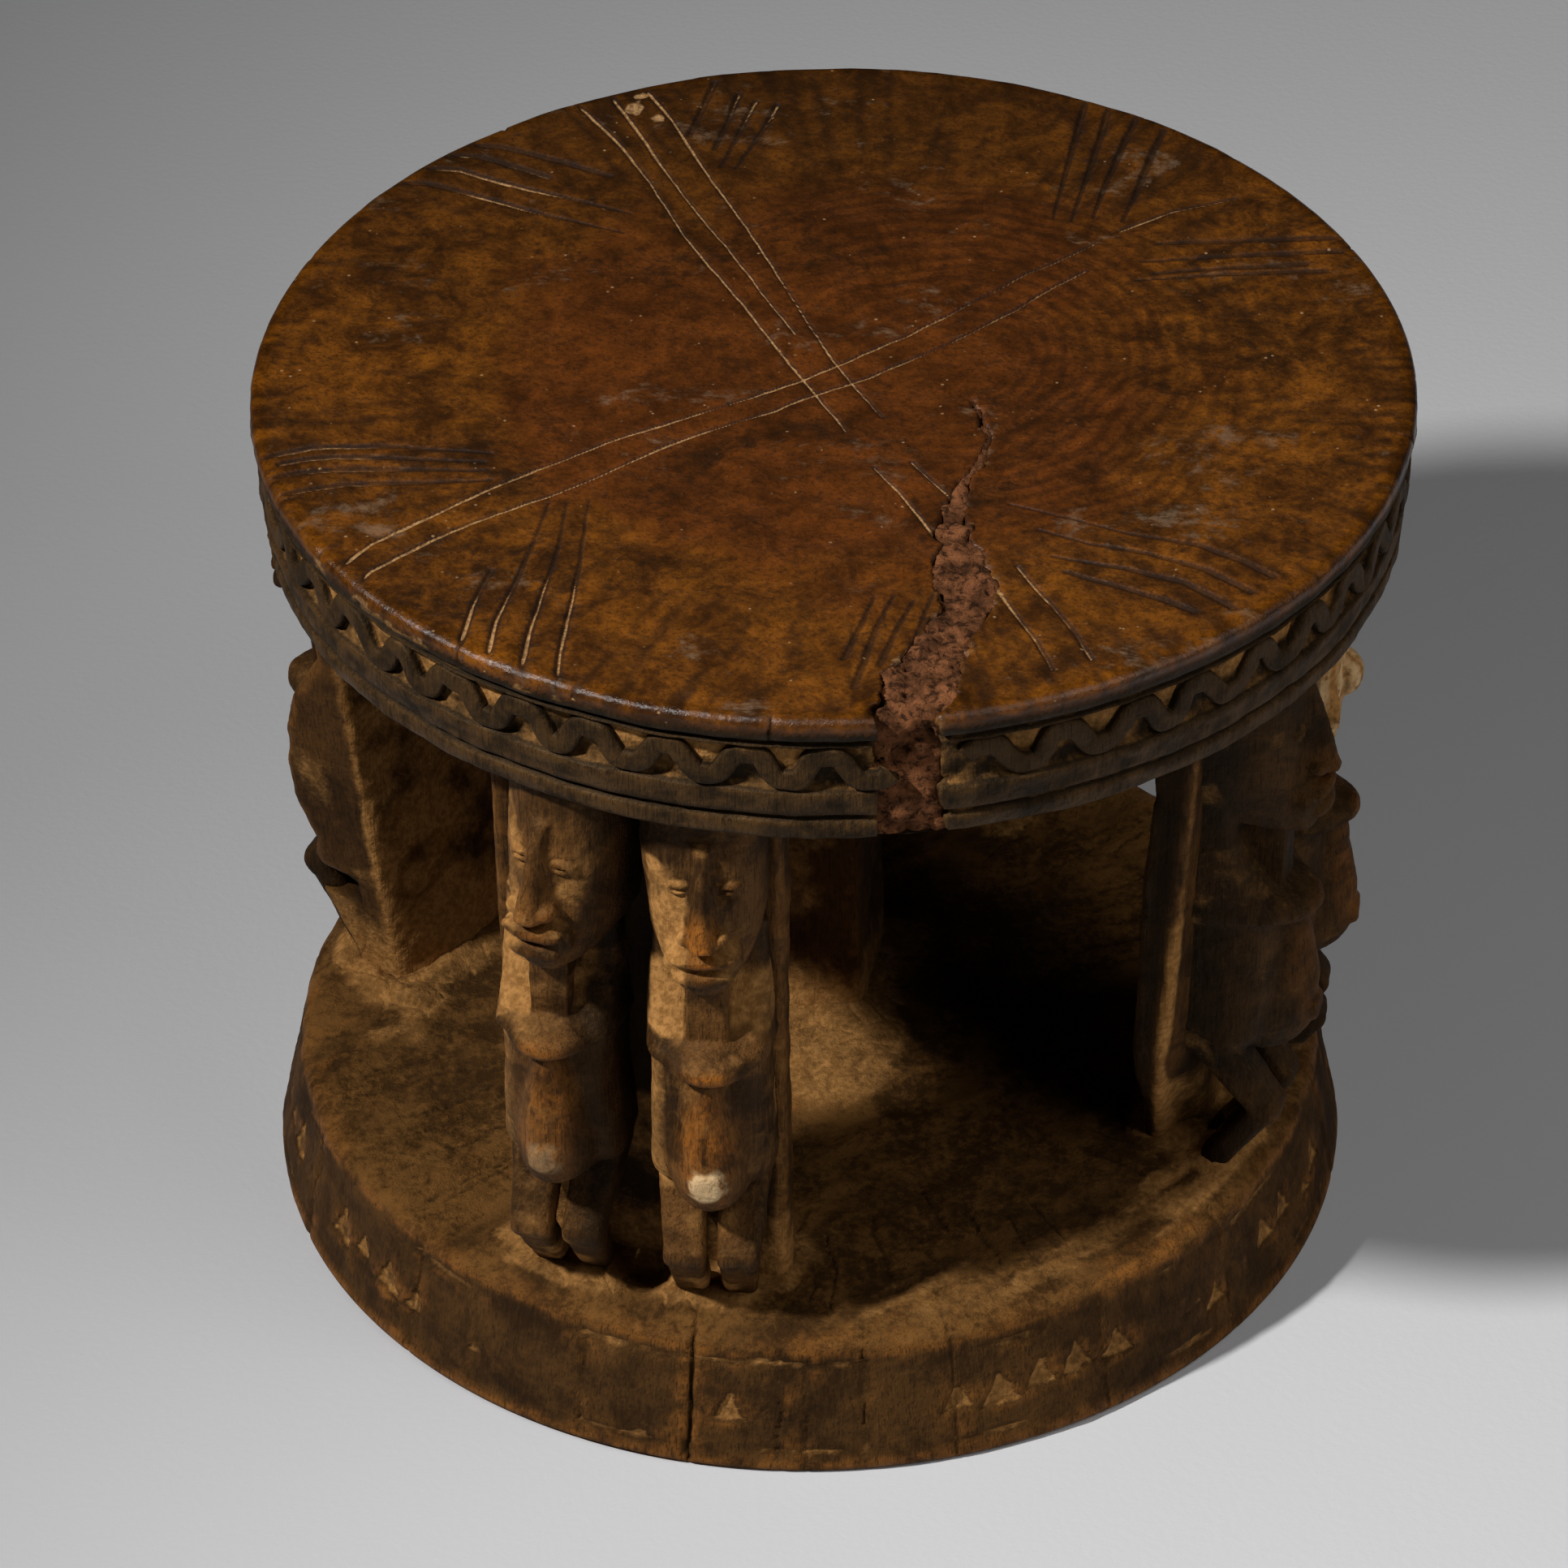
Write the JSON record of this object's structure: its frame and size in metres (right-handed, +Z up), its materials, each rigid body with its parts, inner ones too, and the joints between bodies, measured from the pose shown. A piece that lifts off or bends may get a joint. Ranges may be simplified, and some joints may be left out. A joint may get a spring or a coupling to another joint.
{
  "type": "figurative stool",
  "caption": "Round carved wooden stool: a disc seat with a zigzag rim on leaning panels with standing relief figures, a squared centre post and a disc base.",
  "frame": {"origin": "centre of the underside of the base, on the floor", "axes": "+Z up; the front pair of figures looks towards -Y and the drying crack opens towards -Y; +X to the right of that view"},
  "size_m": [0.317, 0.312, 0.257],
  "materials": {
    "seat_wood": "dark red-brown hardwood, polished by use, worn orange-brown towards the rim",
    "base_wood": "blackened brown hardwood with worn earth crust",
    "support_wood": "adzed brown hardwood with pale dust",
    "figure_wood": "grey-brown carved hardwood, worn orange-brown on raised places",
    "crack_earth": "dry crumbly pink-brown earth"
  },
  "bodies": {
    "root": {"base_disc": "base_wood", "seat_disc": "seat_wood", "crack_fill": "crack_earth", "centre_post": "support_wood", "front_panel": "support_wood", "front_figure_a": "figure_wood", "front_figure_b": "figure_wood", "right_panel": "support_wood", "right_figure_a": "figure_wood", "right_figure_b": "figure_wood", "back_panel": "support_wood", "back_figure_a": "figure_wood", "back_figure_b": "figure_wood", "left_panel": "support_wood", "left_figure_a": "figure_wood", "left_figure_b": "figure_wood"}
  },
  "joints": []
}
